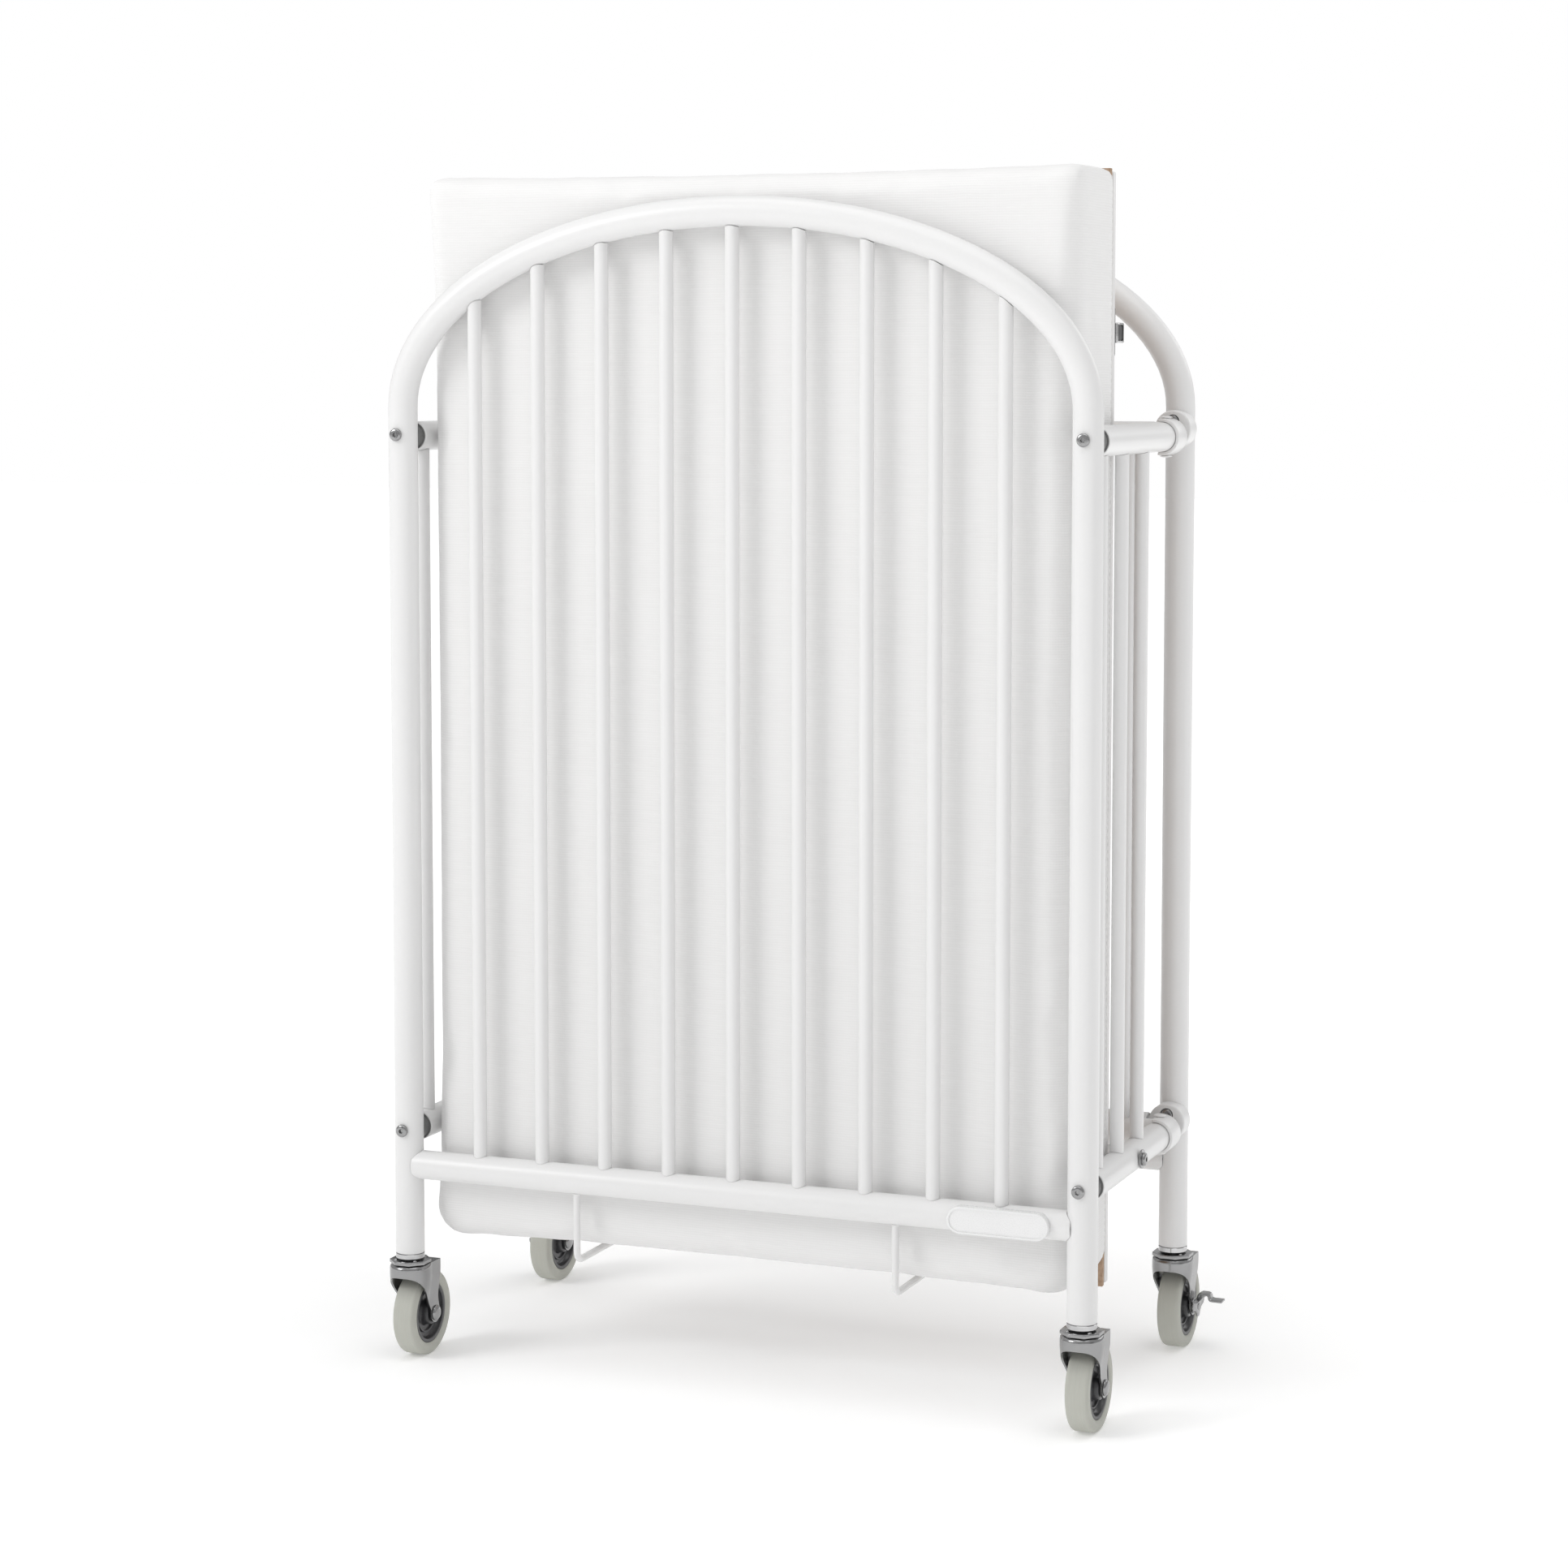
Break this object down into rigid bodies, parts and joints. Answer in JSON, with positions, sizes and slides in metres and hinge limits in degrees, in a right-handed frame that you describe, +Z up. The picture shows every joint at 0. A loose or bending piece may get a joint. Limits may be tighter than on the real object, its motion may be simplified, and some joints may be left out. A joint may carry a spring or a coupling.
{
  "type": "folding cot",
  "caption": "White tubular-steel folding cot on swivel casters, folded up with its mattress stored upright between arched slatted ends.",
  "frame": {"origin": "floor level, under the middle of the whole folded cot", "axes": "+X to the cot's right seen from the front, +Y from the front end to the rear end, +Z up"},
  "size_m": [0.704, 0.3514, 1.0415],
  "materials": {
    "white_powder_coat": "gloss",
    "zinc_plate": "satin",
    "bright_chrome": "polished",
    "dark_hub_plastic": "gloss",
    "grey_plug_plastic": "matte",
    "grey_tyre": "matte",
    "mattress_cover": "fine ribbed weave",
    "badge_plastic": "gloss",
    "fibreboard": "raw cut edge"
  },
  "bodies": {
    "front_end": {"front_hoop": "white_powder_coat", "front_slat_panel": "white_powder_coat", "badge": "badge_plastic", "left_cradle_wire": "white_powder_coat", "right_cradle_wire": "white_powder_coat", "right_wing": "white_powder_coat", "left_wing": "white_powder_coat", "right_upper_leg_bolt": "zinc_plate", "right_upper_rail_plug": "grey_plug_plastic", "right_upper_front_knuckle": "white_powder_coat", "right_lower_leg_bolt": "zinc_plate", "right_lower_rail_plug": "grey_plug_plastic", "right_lower_front_knuckle": "white_powder_coat", "right_pivot_bolt": "zinc_plate", "left_upper_leg_bolt": "zinc_plate", "left_upper_rail_plug": "grey_plug_plastic", "left_upper_front_knuckle": "white_powder_coat", "left_lower_leg_bolt": "zinc_plate", "left_lower_rail_plug": "grey_plug_plastic", "left_lower_front_knuckle": "white_powder_coat", "left_pivot_bolt": "zinc_plate", "front_left_stem": "bright_chrome", "front_right_stem": "bright_chrome"},
    "right_near": {"right_near_side": "white_powder_coat", "right_mid_rod": "zinc_plate"},
    "right_far": {"right_far_side": "white_powder_coat"},
    "left_near": {"left_near_side": "white_powder_coat", "left_mid_rod": "zinc_plate"},
    "left_far": {"left_far_side": "white_powder_coat"},
    "rear_end": {"rear_hoop": "white_powder_coat", "rear_slat_panel": "white_powder_coat", "rear_wing": "white_powder_coat", "right_upper_rear_knuckle": "white_powder_coat", "right_lower_rear_knuckle": "white_powder_coat", "rear_left_stem": "bright_chrome", "rear_right_stem": "bright_chrome"},
    "platform": {"mattress_board": "fibreboard", "board_frame": "white_powder_coat", "mattress": "mattress_cover", "latch_plate": "zinc_plate"},
    "latch": {"latch_bolt": "bright_chrome"},
    "front_left_caster": {"front_left_fork": "zinc_plate", "front_left_axle": "zinc_plate"},
    "front_left_wheel": {"front_left_hub": "dark_hub_plastic", "front_left_tyre": "grey_tyre"},
    "front_right_caster": {"front_right_fork": "zinc_plate", "front_right_axle": "zinc_plate"},
    "front_right_wheel": {"front_right_hub": "dark_hub_plastic", "front_right_tyre": "grey_tyre"},
    "rear_left_caster": {"rear_left_fork": "zinc_plate", "rear_left_axle": "zinc_plate"},
    "rear_left_wheel": {"rear_left_hub": "dark_hub_plastic", "rear_left_tyre": "grey_tyre"},
    "rear_left_brake": {"rear_left_brake_lever": "zinc_plate"},
    "rear_right_caster": {"rear_right_fork": "zinc_plate", "rear_right_axle": "zinc_plate"},
    "rear_right_wheel": {"rear_right_hub": "dark_hub_plastic", "rear_right_tyre": "grey_tyre"},
    "rear_right_brake": {"rear_right_brake_lever": "zinc_plate"}
  },
  "joints": [
    {"name": "frame_open", "type": "hinge", "parent": "front_end", "child": "right_near", "pos_m": [0.31, 0.0714, 0.5], "axis": [0, 0, -1], "range_deg": [0, 90]},
    {"name": "right_mid_hinge", "type": "hinge", "parent": "right_near", "child": "right_far", "pos_m": [-0.058, 0.0844, 0.5], "axis": [0, 0, 1], "range_deg": [0, 180]},
    {"name": "rear_hinge", "type": "hinge", "parent": "right_far", "child": "rear_end", "pos_m": [0.31, 0.0974, 0.5], "axis": [0, 0, -1], "range_deg": [0, 90]},
    {"name": "left_front_hinge", "type": "hinge", "parent": "front_end", "child": "left_near", "pos_m": [-0.31, -0.0081, 0.5], "axis": [0, 0, 1], "range_deg": [0, 90]},
    {"name": "left_mid_hinge", "type": "hinge", "parent": "left_near", "child": "left_far", "pos_m": [0.058, 0.0049, 0.5], "axis": [0, 0, -1], "range_deg": [0, 180]},
    {"name": "platform_tilt", "type": "hinge", "parent": "front_end", "child": "platform", "pos_m": [0, -0.0331, 0.207], "axis": [-1, 0, 0], "range_deg": [0, 0.8]},
    {"name": "latch_slide", "type": "slide", "parent": "platform", "child": "latch", "axis": [1, 0, 0], "range_m": [0, 0.01]},
    {"name": "front_left_swivel", "type": "hinge", "parent": "front_end", "child": "front_left_caster", "pos_m": [-0.31, -0.1581, 0.08], "axis": [0, 0, 1], "continuous": true},
    {"name": "front_left_roll", "type": "hinge", "parent": "front_left_caster", "child": "front_left_wheel", "pos_m": [-0.31, -0.1375, 0.0375], "axis": [1, 0, 0], "continuous": true},
    {"name": "front_right_swivel", "type": "hinge", "parent": "front_end", "child": "front_right_caster", "pos_m": [0.31, -0.1581, 0.08], "axis": [0, 0, 1], "continuous": true},
    {"name": "front_right_roll", "type": "hinge", "parent": "front_right_caster", "child": "front_right_wheel", "pos_m": [0.31, -0.1375, 0.0375], "axis": [1, 0, 0], "continuous": true},
    {"name": "rear_left_swivel", "type": "hinge", "parent": "rear_end", "child": "rear_left_caster", "pos_m": [-0.31, 0.1169, 0.08], "axis": [0, 0, 1], "continuous": true},
    {"name": "rear_left_roll", "type": "hinge", "parent": "rear_left_caster", "child": "rear_left_wheel", "pos_m": [-0.31, 0.1375, 0.0375], "axis": [1, 0, 0], "continuous": true},
    {"name": "rear_left_brake_press", "type": "hinge", "parent": "rear_left_caster", "child": "rear_left_brake", "pos_m": [-0.31, 0.1375, 0.0375], "axis": [1, 0, 0], "range_deg": [0, 20]},
    {"name": "rear_right_swivel", "type": "hinge", "parent": "rear_end", "child": "rear_right_caster", "pos_m": [0.31, 0.1169, 0.08], "axis": [0, 0, 1], "continuous": true},
    {"name": "rear_right_roll", "type": "hinge", "parent": "rear_right_caster", "child": "rear_right_wheel", "pos_m": [0.31, 0.1375, 0.0375], "axis": [1, 0, 0], "continuous": true},
    {"name": "rear_right_brake_press", "type": "hinge", "parent": "rear_right_caster", "child": "rear_right_brake", "pos_m": [0.31, 0.1375, 0.0375], "axis": [1, 0, 0], "range_deg": [0, 20]}
  ],
  "couplings": [
    {"joint": "right_mid_hinge", "follows": "frame_open", "ratio": 2},
    {"joint": "rear_hinge", "follows": "frame_open", "ratio": 1},
    {"joint": "left_front_hinge", "follows": "frame_open", "ratio": 1},
    {"joint": "left_mid_hinge", "follows": "frame_open", "ratio": 2}
  ]
}
